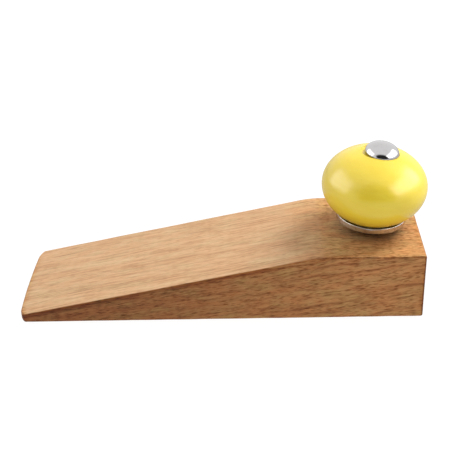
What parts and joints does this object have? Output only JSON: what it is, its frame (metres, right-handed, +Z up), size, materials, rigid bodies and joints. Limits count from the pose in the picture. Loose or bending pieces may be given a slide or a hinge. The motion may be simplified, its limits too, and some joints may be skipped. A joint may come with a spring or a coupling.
{
  "type": "door stop",
  "caption": "Solid wood wedge door stop with a round glazed ceramic lifting knob bolted on top of its thick end.",
  "frame": {"origin": "middle of the block's flat floor face", "axes": "+X from the thin toe to the tall heel, +Y across the block, +Z up from the floor"},
  "size_m": [0.1532, 0.0466, 0.0605],
  "materials": {
    "wood": "sanded and waxed, straight grained, with short dark pores",
    "yellow_glaze": "glossy glaze",
    "chrome": "polished plating",
    "washer_plastic": "plain",
    "rubber": "matt",
    "zinc_steel": "zinc plated"
  },
  "bodies": {
    "wedge": {"wedge_block": "wood"},
    "knob": {"ceramic_knob": "yellow_glaze", "finial": "chrome", "finial_washer": "washer_plastic", "ferrule": "chrome", "ferrule_gasket": "rubber", "threaded_stud": "zinc_steel", "lock_washer": "zinc_steel", "lock_nut": "zinc_steel", "flat_washer": "zinc_steel", "spring_washer": "zinc_steel", "hex_nut": "zinc_steel"}
  },
  "joints": [
    {"name": "knob_turn", "type": "hinge", "parent": "wedge", "child": "knob", "pos_m": [0.0583, 0, 0.0435], "axis": [0.0628, 0, 0.998], "continuous": true}
  ]
}
